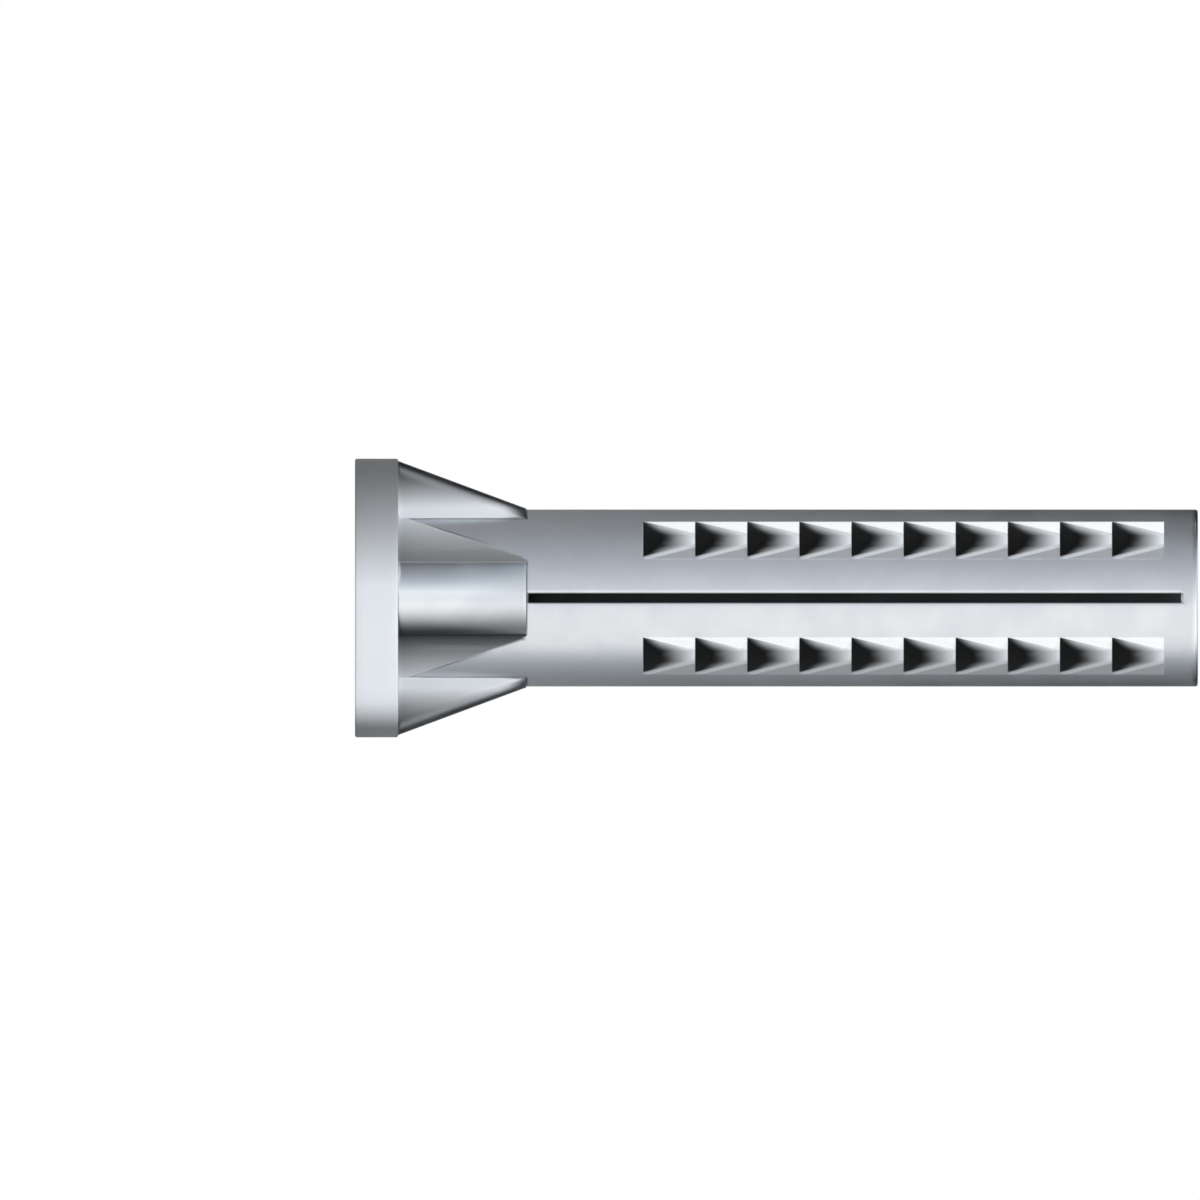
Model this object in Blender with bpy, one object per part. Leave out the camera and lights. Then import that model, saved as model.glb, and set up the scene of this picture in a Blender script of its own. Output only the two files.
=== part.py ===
"""Lead anchor: one lead casting, a tubular sleeve that a screw spreads in a drilled hole.

It stands on its flange. The origin is the centre of the flange's outer face, and +Z runs along
the bore to the tip. The slit faces -Y. The mould opened along Y, so its parting plane holds the
X axis and the two plain gussets.
"""
import math

import bmesh
import bpy

# Overall sizes, in metres
LENGTH = 0.0381
BODY_DIAMETER = 0.0080
FLANGE_DIAMETER = 0.0126
FLANGE_THICKNESS = 0.00195

# Tapered bore
COLLAR_WALL = 0.0008
TIP_WALL = 0.0023
MOUTH_FLARE = 0.0004
MOUTH_FLARE_DEPTH = 0.0012

# Edges of the casting
FLANGE_EDGE_RADIUS = 0.00015
FLANGE_FILLET_RADIUS = 0.00020
TIP_EDGE_RADIUS = 0.00012

# Gussets between the flange and the body
GUSSET_LENGTH = 0.00578
GUSSET_CREST_WIDTH = 0.0033
GUSSET_RIM_INSET = 0.00010
GUSSET_CROWN = 0.00055
FLARED_ROOT_MARGIN = 0.00025
PLAIN_ROOT_WIDTH = 0.0036
ROOT_STAND_OFF = 0.00003
END_FLANK = 0.00005

# Slit through the wall, in front only
SLIT_WIDTH = 0.00043
SLIT_SETBACK = 0.00010
SLIT_TIP_WEB = 0.00077

# Rows of barbs, two in front beside the slit and two behind
BARB_START = 0.01302
BARB_PITCH = 0.002355
BARB_GAP = 0.000095
BARB_TIP_MARGIN = 0.0012
BARB_WIDTH = 0.00232
BARB_ROW_ANGLE = math.radians(43.0)
BARB_HEIGHT = 0.00060
BARB_FACE_LENGTH = 0.00086
BARB_NOSE_WIDTH = 0.00066
BARB_NOSE_HEIGHT = 0.00012
BARB_NOSE_SETBACK = 0.00020
BARB_FOOT_HEIGHT = 0.00004

# Fineness of the curved faces
ROUND_STEPS = 96
EDGE_STEPS = 3
CREST_STEPS = 6
FLANK_STEPS = 4
GUSSET_STATIONS = 9

# How far joined shapes reach into each other, and cutters past what they cut
OVERLAP = 0.0003
CLEAR_CUT = 0.001

BODY_RADIUS = BODY_DIAMETER / 2
FLANGE_RADIUS = FLANGE_DIAMETER / 2
GUSSET_END = FLANGE_THICKNESS + GUSSET_LENGTH

# The flared flanks meet the body a margin in from each of its sides
FLARED_ROOT_WIDTH = BODY_DIAMETER - 2 * FLARED_ROOT_MARGIN


def clear_scene():
    """Remove the objects that the scene starts with."""
    for scene_object in list(bpy.data.objects):
        bpy.data.objects.remove(scene_object, do_unlink=True)


def cast_lead():
    """Return the material of the casting: dull grey lead alloy with a soft metal sheen."""
    material = bpy.data.materials.new("cast_lead")
    material.use_nodes = True
    shader = material.node_tree.nodes["Principled BSDF"]
    shader.inputs["Base Color"].default_value = (0.50, 0.52, 0.55, 1.0)
    shader.inputs["Metallic"].default_value = 0.8
    shader.inputs["Roughness"].default_value = 0.5
    return material


def object_from(name, bm):
    """Turn a finished bmesh into a scene object with its faces pointing out."""
    bmesh.ops.recalc_face_normals(bm, faces=bm.faces)
    mesh = bpy.data.meshes.new(name)
    bm.to_mesh(mesh)
    bm.free()
    made = bpy.data.objects.new(name, mesh)
    bpy.context.collection.objects.link(made)
    return made


def helper_from(name, bm):
    """Make an object that only shapes the casting and isn't part of it."""
    helper = object_from(name, bm)
    helper.hide_render = True
    helper.display_type = "WIRE"
    return helper


def arc(centre_r, centre_z, radius, start, end, steps):
    """Points of a round edge in the (r, z) plane, from one angle to another, both included."""
    angles = [start + (end - start) * step / steps for step in range(steps + 1)]
    return [(centre_r + radius * math.cos(a), centre_z + radius * math.sin(a)) for a in angles]


def turned(profile, start_angle):
    """Spin an open profile, whose two ends lie on the Z axis, into a closed solid."""
    bm = bmesh.new()
    across = math.cos(start_angle)
    along = math.sin(start_angle)
    verts = [bm.verts.new((r * across, r * along, z)) for r, z in profile]
    edges = [bm.edges.new(pair) for pair in zip(verts, verts[1:])]
    bmesh.ops.spin(
        bm,
        geom=verts + edges,
        cent=(0.0, 0.0, 0.0),
        axis=(0.0, 0.0, 1.0),
        angle=math.tau,
        steps=ROUND_STEPS,
        use_merge=True,
    )
    bmesh.ops.remove_doubles(bm, verts=bm.verts, dist=1e-7)
    return bm


def outer_profile():
    """Outside of the casting: flange with rounded edges, fillet, straight body, square tip."""
    quarter = math.pi / 2
    edge_r = FLANGE_RADIUS - FLANGE_EDGE_RADIUS
    top_edge_z = FLANGE_THICKNESS - FLANGE_EDGE_RADIUS
    fillet_r = BODY_RADIUS + FLANGE_FILLET_RADIUS
    fillet_z = FLANGE_THICKNESS + FLANGE_FILLET_RADIUS
    tip_r = BODY_RADIUS - TIP_EDGE_RADIUS
    tip_z = LENGTH - TIP_EDGE_RADIUS
    profile = [(0.0, 0.0)]
    profile += arc(edge_r, FLANGE_EDGE_RADIUS, FLANGE_EDGE_RADIUS, -quarter, 0.0, EDGE_STEPS)
    profile += arc(edge_r, top_edge_z, FLANGE_EDGE_RADIUS, 0.0, quarter, EDGE_STEPS)
    profile += arc(fillet_r, fillet_z, FLANGE_FILLET_RADIUS, -quarter, -math.pi, EDGE_STEPS)
    profile += arc(tip_r, tip_z, TIP_EDGE_RADIUS, 0.0, quarter, EDGE_STEPS)
    profile += [(0.0, LENGTH)]
    return profile


def bore_profile():
    """Bore: a short flare at the mouth, then one long taper that closes towards the tip."""
    collar_r = BODY_RADIUS - COLLAR_WALL
    tip_r = BODY_RADIUS - TIP_WALL
    flare_slope = MOUTH_FLARE / MOUTH_FLARE_DEPTH
    taper = (collar_r - tip_r) / (LENGTH - MOUTH_FLARE_DEPTH)
    return [
        (0.0, -CLEAR_CUT),
        (collar_r + MOUTH_FLARE + flare_slope * CLEAR_CUT, -CLEAR_CUT),
        (collar_r, MOUTH_FLARE_DEPTH),
        (tip_r - taper * CLEAR_CUT, LENGTH + CLEAR_CUT),
        (0.0, LENGTH + CLEAR_CUT),
    ]


def crest_radius(z):
    """Distance of a gusset's crest from the axis: a straight slope from flange rim to body."""
    rim = FLANGE_RADIUS - GUSSET_RIM_INSET
    along = max(0.0, (z - FLANGE_THICKNESS) / GUSSET_LENGTH)
    return rim + (BODY_RADIUS - rim) * along


def gusset_section(z, root_width):
    """Half of a gusset's section at height z, as (across, outward) points from crest to root.

    The crest is crowned over the body's own curve. The flank runs straight from its edge to the
    root, just proud of the body, and the last point lies inside the body's wall.
    """
    half = GUSSET_CREST_WIDTH / 2
    crest = crest_radius(z)
    rise = (crest - BODY_RADIUS) / (crest_radius(0.0) - BODY_RADIUS)
    share = max(0.0, rise)
    points = []
    for step in range(CREST_STEPS + 1):
        across = half * step / CREST_STEPS
        crown = GUSSET_CROWN * share * (2 - share) * (across / half) ** 2
        points.append((across, math.sqrt(crest ** 2 - across ** 2) - crown))
    edge_across, edge_out = points[-1]
    end_across = half + END_FLANK
    root_across = end_across + (root_width / 2 - end_across) * share
    root_r = BODY_RADIUS + ROOT_STAND_OFF * rise - END_FLANK * (1 - share)
    root_out = min(math.sqrt(root_r ** 2 - root_across ** 2), edge_out - END_FLANK)
    for step in range(1, FLANK_STEPS + 1):
        along = step / FLANK_STEPS
        across = edge_across + (root_across - edge_across) * along
        points.append((across, edge_out + (root_out - edge_out) * along))
    inward = 1 - 2 * OVERLAP / BODY_RADIUS
    points.append((root_across * inward, root_out * inward))
    return points


def gusset(turn, root_width):
    """One gusset as a loft of sections from inside the flange down to the body."""
    bm = bmesh.new()
    rings = []
    start = FLANGE_THICKNESS - OVERLAP
    end = GUSSET_END + OVERLAP
    for station in range(GUSSET_STATIONS):
        z = start + (end - start) * station / (GUSSET_STATIONS - 1)
        half = gusset_section(z, root_width)
        outline = half[::-1] + [(-across, out) for across, out in half[1:]]
        ring = []
        for across, out in outline:
            x = across * math.cos(turn) + out * math.sin(turn)
            y = across * math.sin(turn) - out * math.cos(turn)
            ring.append(bm.verts.new((x, y, z)))
        rings.append(ring)
    for ring, after in zip(rings, rings[1:]):
        for index in range(len(ring)):
            following = (index + 1) % len(ring)
            bm.faces.new((ring[index], ring[following], after[following], after[index]))
    bm.faces.new(rings[0])
    bm.faces.new(rings[-1])
    bmesh.ops.triangulate(bm, faces=bm.faces)
    return bm


def add_barb(bm, side, facing, z):
    """Add one barb whose flange-side end is at z.

    It is a plough that stands out along Y, as the mould drew it. A leaning three-cornered face
    looks at the flange, a ramp narrows towards the tip, and a low foot lies on either side.
    """
    spread = BARB_WIDTH / BODY_DIAMETER
    near = BODY_RADIUS * math.sin(BARB_ROW_ANGLE - spread)
    far = BODY_RADIUS * math.sin(BARB_ROW_ANGLE + spread)
    middle = (near + far) / 2
    nose = BARB_NOSE_WIDTH / 2
    length = BARB_PITCH - BARB_GAP
    nose_z = z + length - BARB_NOSE_SETBACK
    end_z = z + length

    def corner(x, height, lift):
        surface = math.sqrt(BODY_RADIUS ** 2 - x ** 2)
        return bm.verts.new((side * x, facing * (surface + lift), height))

    start_near = corner(near, z, BARB_FOOT_HEIGHT)
    start_mid = corner(middle, z, BARB_FOOT_HEIGHT)
    start_far = corner(far, z, BARB_FOOT_HEIGHT)
    end_near = corner(near, end_z, BARB_FOOT_HEIGHT)
    end_mid = corner(middle, end_z, BARB_FOOT_HEIGHT)
    end_far = corner(far, end_z, BARB_FOOT_HEIGHT)
    peak = corner(middle, z + BARB_FACE_LENGTH, BARB_HEIGHT)
    nose_near = corner(middle - nose, nose_z, BARB_NOSE_HEIGHT)
    nose_far = corner(middle + nose, nose_z, BARB_NOSE_HEIGHT)
    root_start_near = corner(near, z, -OVERLAP)
    root_start_far = corner(far, z, -OVERLAP)
    root_end_near = corner(near, end_z, -OVERLAP)
    root_end_far = corner(far, end_z, -OVERLAP)

    for corners in (
        (start_near, start_mid, peak),
        (start_mid, start_far, peak),
        (start_near, peak, nose_near),
        (start_far, nose_far, peak),
        (peak, nose_far, nose_near),
        (start_near, nose_near, end_near),
        (start_far, end_far, nose_far),
        (nose_near, nose_far, end_mid),
        (nose_near, end_mid, end_near),
        (nose_far, end_far, end_mid),
        (root_start_near, start_near, end_near, root_end_near),
        (root_start_far, root_end_far, end_far, start_far),
        (root_start_near, root_start_far, start_far, start_mid, start_near),
        (root_end_near, end_near, end_mid, end_far, root_end_far),
        (root_start_near, root_end_near, root_end_far, root_start_far),
    ):
        bm.faces.new(corners)


def barb_rows():
    """Four rows of barbs, two in front and two behind, as many as the length has room for."""
    room = LENGTH - BARB_START - BARB_TIP_MARGIN
    count = max(1, int(room / BARB_PITCH))
    bm = bmesh.new()
    for facing in (-1, 1):
        for side in (-1, 1):
            for index in range(count):
                add_barb(bm, side, facing, BARB_START + index * BARB_PITCH)
    return bm


def slit_cutter():
    """A thin slab from the axis out past the front, which cuts the slit through the wall."""
    start = GUSSET_END + SLIT_SETBACK
    end = LENGTH - SLIT_TIP_WEB
    reach = BODY_RADIUS + CLEAR_CUT
    bm = bmesh.new()
    bmesh.ops.create_cube(bm, size=1.0)
    bmesh.ops.scale(bm, vec=(SLIT_WIDTH, reach, end - start), verts=bm.verts)
    bmesh.ops.translate(bm, vec=(0.0, -reach / 2, (start + end) / 2), verts=bm.verts)
    return bm


def combine(target, helper, operation):
    """Join a helper's shape to the casting, or cut it away, with an exact Boolean."""
    modifier = target.modifiers.new(helper.name, "BOOLEAN")
    modifier.operation = operation
    modifier.solver = "EXACT"
    modifier.object = helper


def build():
    """Model the anchor sleeve."""
    clear_scene()
    half_step = math.pi / ROUND_STEPS
    sleeve = object_from("anchor_sleeve", turned(outer_profile(), half_step))
    sleeve.data.materials.append(cast_lead())
    sleeve.data.shade_smooth()
    sleeve.data.set_sharp_from_angle(angle=math.radians(35.0))

    quarter = math.pi / 2
    for number, root_width in enumerate((FLARED_ROOT_WIDTH, PLAIN_ROOT_WIDTH) * 2):
        shape = gusset(number * quarter, root_width)
        combine(sleeve, helper_from(f"gusset_{number + 1}", shape), "UNION")

    combine(sleeve, helper_from("barb_rows", barb_rows()), "UNION")
    combine(sleeve, helper_from("bore_cutter", turned(bore_profile(), 0.0)), "DIFFERENCE")
    combine(sleeve, helper_from("slit_cutter", slit_cutter()), "DIFFERENCE")


build()
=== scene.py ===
"""Looks of the cast lead anchor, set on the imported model: its skin, its finish, floor and lights."""
import math

import bmesh
import bpy
import numpy as np
from mathutils import Matrix, Vector


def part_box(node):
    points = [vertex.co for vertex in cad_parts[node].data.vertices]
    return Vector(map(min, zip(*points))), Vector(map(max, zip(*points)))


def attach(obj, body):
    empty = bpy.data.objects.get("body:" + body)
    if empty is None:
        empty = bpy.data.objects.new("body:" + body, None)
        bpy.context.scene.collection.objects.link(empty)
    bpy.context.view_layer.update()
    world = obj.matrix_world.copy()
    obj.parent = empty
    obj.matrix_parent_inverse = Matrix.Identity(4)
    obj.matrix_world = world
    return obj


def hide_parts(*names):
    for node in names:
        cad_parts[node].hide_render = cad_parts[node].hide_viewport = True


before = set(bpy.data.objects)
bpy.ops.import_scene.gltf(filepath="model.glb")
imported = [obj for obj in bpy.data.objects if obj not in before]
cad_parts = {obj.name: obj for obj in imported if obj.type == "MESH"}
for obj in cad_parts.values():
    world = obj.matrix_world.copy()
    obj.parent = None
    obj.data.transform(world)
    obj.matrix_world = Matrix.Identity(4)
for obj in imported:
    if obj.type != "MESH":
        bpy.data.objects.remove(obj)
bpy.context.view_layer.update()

MM = 0.001
NODE = "anchor_sleeve"

# Sizes taken from the frame
_, high_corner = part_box(NODE)
TIP_Z = high_corner[2]
FLANGE_RADIUS = high_corner[0]

# Sizes of the casting that its box doesn't give
BODY_RADIUS = 4.0 * MM
FLANGE_THICKNESS = 1.95 * MM
RIM_EDGE = 0.09 * MM
FLANGE_FILLET = 0.20 * MM
TIP_EDGE = 0.12 * MM
MOUTH_RADIUS = 3.6 * MM
COLLAR_BORE_RADIUS = 3.2 * MM
TIP_BORE_RADIUS = 1.7 * MM
FLARE_DEPTH = 1.2 * MM
BORE_EDGE = 0.08 * MM

# Gussets
GUSSET_END = 7.73 * MM
GUSSET_END_STEP = 0.05 * MM
CREST_HALF = 1.65 * MM
CREST_INSET = 0.10 * MM
CREST_CROWN = 0.55 * MM
FLARED_ROOT = 3.75 * MM
PLAIN_ROOT = 1.80 * MM
ROOT_STAND_OFF = 0.03 * MM
LEAST_FLANK = 0.05 * MM
FULL_RISE = 1.0 * MM

# How the gussets blend: roundings of the creases, and how a flank sinks under the skin past its root
CREST_CREASE = 0.10 * MM
FLARED_CREASE = 0.03 * MM
PLAIN_CREASE = 0.08 * MM
ROOT_SINK = 1.0 * MM
ROOT_SINK_TURN = 0.12
FILLET_FADE = 0.5 * MM

# How far a crest's form is carried on past its edge, in its half widths, and up to which angle
CREST_CARRIED_ON = 1.5
CREST_WIDEST_TURN = 1.3

# Slit, in front only
SLIT_HALF = 0.215 * MM
SLIT_START = 7.83 * MM
SLIT_END = TIP_Z - 0.77 * MM
SLIT_EDGE_BREAK = 0.03 * MM

# Barbs, laid out in plan as the mould drew them along Y
BARB_START = 13.02 * MM
BARB_PITCH = 2.355 * MM
BARB_LENGTH = 2.26 * MM
BARBS_IN_ROW = 10
ROW_ANGLE = math.radians(43.0)
ROW_SPREAD = math.radians(16.6)
BARB_HEIGHT = 0.60 * MM
BARB_FACE = 0.86 * MM
NOSE_AT = BARB_LENGTH - 0.20 * MM
NOSE_HALF = 0.33 * MM
NOSE_HEIGHT = 0.12 * MM
FOOT_HEIGHT = 0.015 * MM
FOOT_RUN = 0.05 * MM
FOOT_END_RUN = 0.03 * MM
BARB_SOFTNESS = 0.05 * MM

BARB_NEAR = BODY_RADIUS * math.sin(ROW_ANGLE - ROW_SPREAD)
BARB_FAR = BODY_RADIUS * math.sin(ROW_ANGLE + ROW_SPREAD)
BARB_MIDDLE = (BARB_NEAR + BARB_FAR) / 2
BARB_HALF = (BARB_FAR - BARB_NEAR) / 2
BARB_APPROACH = 0.1 * MM
BARBS_END = BARB_START + BARBS_IN_ROW * BARB_PITCH

# Photograph: the side view's own place in the 1200 pixel frame
PHOTO_SIZE = 1200
PHOTO_FLANGE_X = 355
PHOTO_TIP_X = 1198
PHOTO_AXIS_Y = 598
METRES_PER_PIXEL = TIP_Z / (PHOTO_TIP_X - PHOTO_FLANGE_X)

# Slack for comparing places that should be equal, as a length and as an angle
HAIR = 0.001 * MM
HAIR_TURN = 0.002


def soft_min(first, second, radius):
    """Smaller of two fields, with the crease between them rounded over about one radius."""
    near = np.maximum(radius - np.abs(first - second), 0.0) / radius
    return np.minimum(first, second) - near ** 2 * radius / 4


def soft_max(first, second, radius):
    """Larger of two fields, with the crease between them rounded over about one radius."""
    return -soft_min(-first, -second, radius)


def smooth_step(low, high, value):
    """0 below low, 1 above high, and an S-shaped ease between them."""
    share = np.clip((value - low) / (high - low), 0.0, 1.0)
    return share * share * (3 - 2 * share)


def runs(*parts):
    """Join evenly spaced runs, each (start, end, steps), into one rising list without repeats."""
    pieces = [np.linspace(start, end, steps, endpoint=False) for start, end, steps in parts]
    return np.concatenate(pieces + [np.array([parts[-1][1]])])


def angle_at(across):
    """Angle from the slit plane at which the body's surface is this far across."""
    return math.asin(across / BODY_RADIUS)


SLIT_EDGE = angle_at(SLIT_HALF)
BESIDE_SLIT = SLIT_EDGE + math.radians(0.9)
CREST_EDGE = angle_at(CREST_HALF)
EDGE_ROUNDING = math.radians(0.6)
SIDE_ROOT = math.radians(62.0)
RIGHT_ANGLE = math.pi / 2

# Columns over each part of a quadrant, and how many of a barb's lie on its plough
CREST_COLUMNS = 11
ROUNDING_COLUMNS = 2
BARB_COLUMNS = 24
PLOUGH_COLUMNS = 14
OPEN_COLUMNS = 3
SIDE_FLANK_COLUMNS = 6
FLANK_ROOT_COLUMN = 12

# Least turns between the guiding columns where the gussets' flanks run out
LEAST_SIDE_FLANK_TURN = math.radians(1.2)
LEAST_FLANK_TURN = math.radians(2.4)
LEAST_OPEN_TURN = math.radians(1.5)


def quadrant_columns():
    """Plain angles of the columns in one quadrant, from the slit plane to the parting plane.

    Columns lie on each edge that runs along the casting. Those over a barb are evenly spaced
    across it.
    """
    across = np.linspace(BARB_NEAR, BARB_FAR, BARB_COLUMNS + 1)
    front = runs(
        (0.0, SLIT_EDGE, 1),
        (SLIT_EDGE, BESIDE_SLIT, 1),
        (BESIDE_SLIT, CREST_EDGE - EDGE_ROUNDING, CREST_COLUMNS),
        (CREST_EDGE - EDGE_ROUNDING, CREST_EDGE + EDGE_ROUNDING, ROUNDING_COLUMNS),
    )
    far = angle_at(BARB_FAR)
    side_crest = RIGHT_ANGLE - CREST_EDGE
    side = runs(
        (far, SIDE_ROOT, OPEN_COLUMNS),
        (SIDE_ROOT, side_crest, SIDE_FLANK_COLUMNS),
        (side_crest, side_crest + EDGE_ROUNDING, 1),
        (side_crest + EDGE_ROUNDING, RIGHT_ANGLE, CREST_COLUMNS),
    )
    return np.concatenate([front, np.arcsin(across / BODY_RADIUS), side[1:]])


def gusset_shape(z, root_half):
    """Crest radius, its share of the full rise, and the flank's two ends as across and out."""
    rim = FLANGE_RADIUS - CREST_INSET
    end = BODY_RADIUS + GUSSET_END_STEP
    along = np.clip((z - FLANGE_THICKNESS) / (GUSSET_END - FLANGE_THICKNESS), 0.0, 1.0)
    crest = rim + (end - rim) * along
    share = (crest - BODY_RADIUS) / (rim - BODY_RADIUS)
    crown = CREST_CROWN * share * (2 - share)
    edge_out = np.sqrt(crest ** 2 - CREST_HALF ** 2) - crown
    least = CREST_HALF + LEAST_FLANK
    root = least + (root_half - least) * share
    root_out = np.sqrt((BODY_RADIUS + ROOT_STAND_OFF * share) ** 2 - root ** 2)
    return crest, crown, edge_out, root, root_out


def column_knots(z, radius):
    """Where a row's guiding columns go, one row of angles for each height.

    Up to the gussets' end they follow the crest's edges and the flanks' roots, and from there
    they ease back to their plain angles before the first barb.
    """
    count = len(z)
    low = np.clip(z, FLANGE_THICKNESS, GUSSET_END)
    _, _, edge_out, root, root_out = gusset_shape(low, FLARED_ROOT)
    _, _, _, side_root, side_out = gusset_shape(low, PLAIN_ROOT)
    crest_edge = np.arctan2(CREST_HALF, edge_out)
    side_edge = RIGHT_ANGLE - crest_edge
    side_foot = RIGHT_ANGLE - np.arctan2(side_root, side_out)
    side_foot = np.minimum(side_foot, side_edge - LEAST_SIDE_FLANK_TURN)
    foot = np.arctan2(root, root_out)
    foot = np.clip(foot, crest_edge + LEAST_FLANK_TURN, side_foot - LEAST_OPEN_TURN)
    followed = [crest_edge - EDGE_ROUNDING, crest_edge, crest_edge + EDGE_ROUNDING, foot]
    followed += [side_foot, side_edge, side_edge + EDGE_ROUNDING]
    followed = np.stack(followed, axis=1)
    plain = plain_knots()[3:-1]
    ease = smooth_step(GUSSET_END, BARB_START - BARB_APPROACH, z)[:, None]
    moved = followed + (plain - followed) * ease
    slit = np.arcsin(SLIT_HALF / radius)[:, None]
    beside = slit + (BESIDE_SLIT - SLIT_EDGE) * (BODY_RADIUS / radius)[:, None]
    ends = np.zeros((count, 1)), np.full((count, 1), RIGHT_ANGLE)
    return np.concatenate([ends[0], slit, beside, moved, ends[1]], axis=1)


def plain_knots():
    """Plain angles of the guiding columns, in the order of column_knots."""
    columns = quadrant_columns()
    crest = np.argmin(abs(columns - CREST_EDGE))
    foot = crest + 2 + FLANK_ROOT_COLUMN
    side_foot = np.argmin(abs(columns - SIDE_ROOT))
    side_edge = np.argmin(abs(columns - (RIGHT_ANGLE - CREST_EDGE)))
    picks = [0, 1, 2, crest - 1, crest, crest + 1, foot, side_foot, side_edge, side_edge + 1, -1]
    return columns[picks]


def turned_columns(z, radius):
    """Angle of every column on every row, all the way round.

    Between two guiding columns the others keep their shares, so the whole is a product of two
    tables: how far apart the guides are on each row, and how far between them each column lies.
    """
    columns = quadrant_columns()
    plain = plain_knots()
    shares = np.clip((columns - plain[:-1, None]) / np.diff(plain)[:, None], 0.0, 1.0)
    quadrant = np.diff(column_knots(z, radius), axis=1) @ shares
    half = np.concatenate([quadrant, math.pi - quadrant[:, -2::-1]], axis=1)
    return np.concatenate([half, 2 * math.pi - half[:, -2:0:-1]], axis=1)


def fold_angle(angle):
    """Angle from the nearer end of the slit plane, 0 to 90 degrees, for any angle round."""
    return np.arctan2(np.abs(np.sin(angle)), np.abs(np.cos(angle)))


def gusset_reach(angle, z, root_half):
    """Distance from the axis to a gusset's surface, angle counted from its crest's middle.

    The crest is a cone coaxial with the body, less a crown that grows with the square of the
    way across. The flank is the straight line through its two ends, in polar form. Past the root
    it falls away under the body's skin.
    """
    crest, crown, edge_out, root, root_out = gusset_shape(z, root_half)
    edge_angle = np.arctan2(CREST_HALF, edge_out)
    root_angle = np.arctan2(root, root_out)
    across = CREST_HALF * np.minimum(angle / edge_angle, CREST_CARRIED_ON)
    over = np.sqrt(crest ** 2 - across ** 2) - crown * (across / CREST_HALF) ** 2
    over = over / np.cos(np.minimum(angle, CREST_WIDEST_TURN))
    normal_across = edge_out - root_out
    normal_out = root - CREST_HALF
    constant = normal_across * CREST_HALF + normal_out * edge_out
    flank = constant / (normal_across * np.sin(angle) + normal_out * np.cos(angle))
    reach = soft_min(over, flank, CREST_CREASE)
    reach = reach - ROOT_SINK * smooth_step(0.0, ROOT_SINK_TURN, angle - root_angle)
    gone = (z > GUSSET_END + HAIR) | (angle > root_angle + ROOT_SINK_TURN)
    return np.where(gone, 0.0, reach)


def body_reach(angle, z):
    """Distance from the axis to the outside of the collar and body, without the barbs."""
    folded = fold_angle(angle)
    flared = gusset_reach(folded, z, FLARED_ROOT)
    plain = gusset_reach(RIGHT_ANGLE - folded, z, PLAIN_ROOT)
    body = np.full_like(z, BODY_RADIUS)
    reach = soft_max(soft_max(body, flared, FLARED_CREASE), plain, PLAIN_CREASE)
    up = np.clip(1 - (z - FLANGE_THICKNESS) / FLANGE_FILLET, 0.0, 1.0)
    fillet = FLANGE_FILLET * (1 - np.sqrt(np.clip(1 - up ** 2, 0.0, 1.0)))
    room = FLANGE_RADIUS - RIM_EDGE - reach
    reach = reach + fillet * smooth_step(0.0, FILLET_FADE, room)
    beside = np.arctan2(np.abs(np.sin(angle)), np.cos(angle)) - SLIT_EDGE
    in_slit = (z > SLIT_START - HAIR) & (z < SLIT_END + HAIR)
    broken = (1 - smooth_step(0.0, BESIDE_SLIT - SLIT_EDGE, beside)) * SLIT_EDGE_BREAK
    return reach - np.where(in_slit, broken, 0.0)


# Painted light and shade tones of the chalky flanks, from 0 black to 1 white, as a constant, a
# rise and a squared rise
UPPER_FLANK_TONES = (0.17, 0.26, 0.26)
LOWER_FLANK_TONES = (0.0, 0.55, 0.25)
SIDE_FLANK_TONES = (0.02, 0.0, 0.72)
SIDE_TONE_DEPTH = 2.0 * MM

# The rim's painted light and shade tones, each rise with the degrees from the front between which
# it grows; the tone pales towards the front as a painted highlight, darkens on the +X side as
# painted shade, and behind it adds a last one
RIM_SHADING_COVER = 0.85
RIM_LEAST = 0.07
RIM_LEAST_RISE = 0.06
RIM_MOST = 0.70
RIM_MOST_RISE = 0.09
RIM_BEHIND = 0.25
RIM_LEAST_RUN = (0, 40)
RIM_MOST_RUN = (25, 45)
RIM_PALES_FROM = -75
RIM_PALES_OVER = 70
RIM_DARKENS_RUN = (45, 71)
RIM_BEHIND_RUN = (85, 140)

# Thin chalky film on the -X side of the front and back crests, painted to lift the shade there
CREST_PAINTED_LIFT = 0.10
CREST_LIFT_TONE = 0.5
CREST_LIFT_RUN = (0.30, 0.90)

# Where the crests' painted shade and painted highlight grow, in shares of the way from the middle
# to the edge, and for the side ones, whose painted tones grow there, also with their rise over the
# body
CREST_SHADE_RUN = (0.02, 0.86)
CREST_HIGHLIGHT_RUN = (0.0, 0.20)
SIDE_CREST_RUN = (0.45, 0.95)
SIDE_CREST_RISE = (0.05 * MM, 0.50 * MM)


def toned(tones, share):
    """A tone that grows with a share and with its square."""
    constant, rise, squared = tones
    return constant + rise * share + squared * share ** 2


def on_collar(z):
    """Whether each height lies on the gussets, from the flange's underside to their ends."""
    return (z <= GUSSET_END + HAIR) & (z >= FLANGE_THICKNESS - HAIR)


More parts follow.
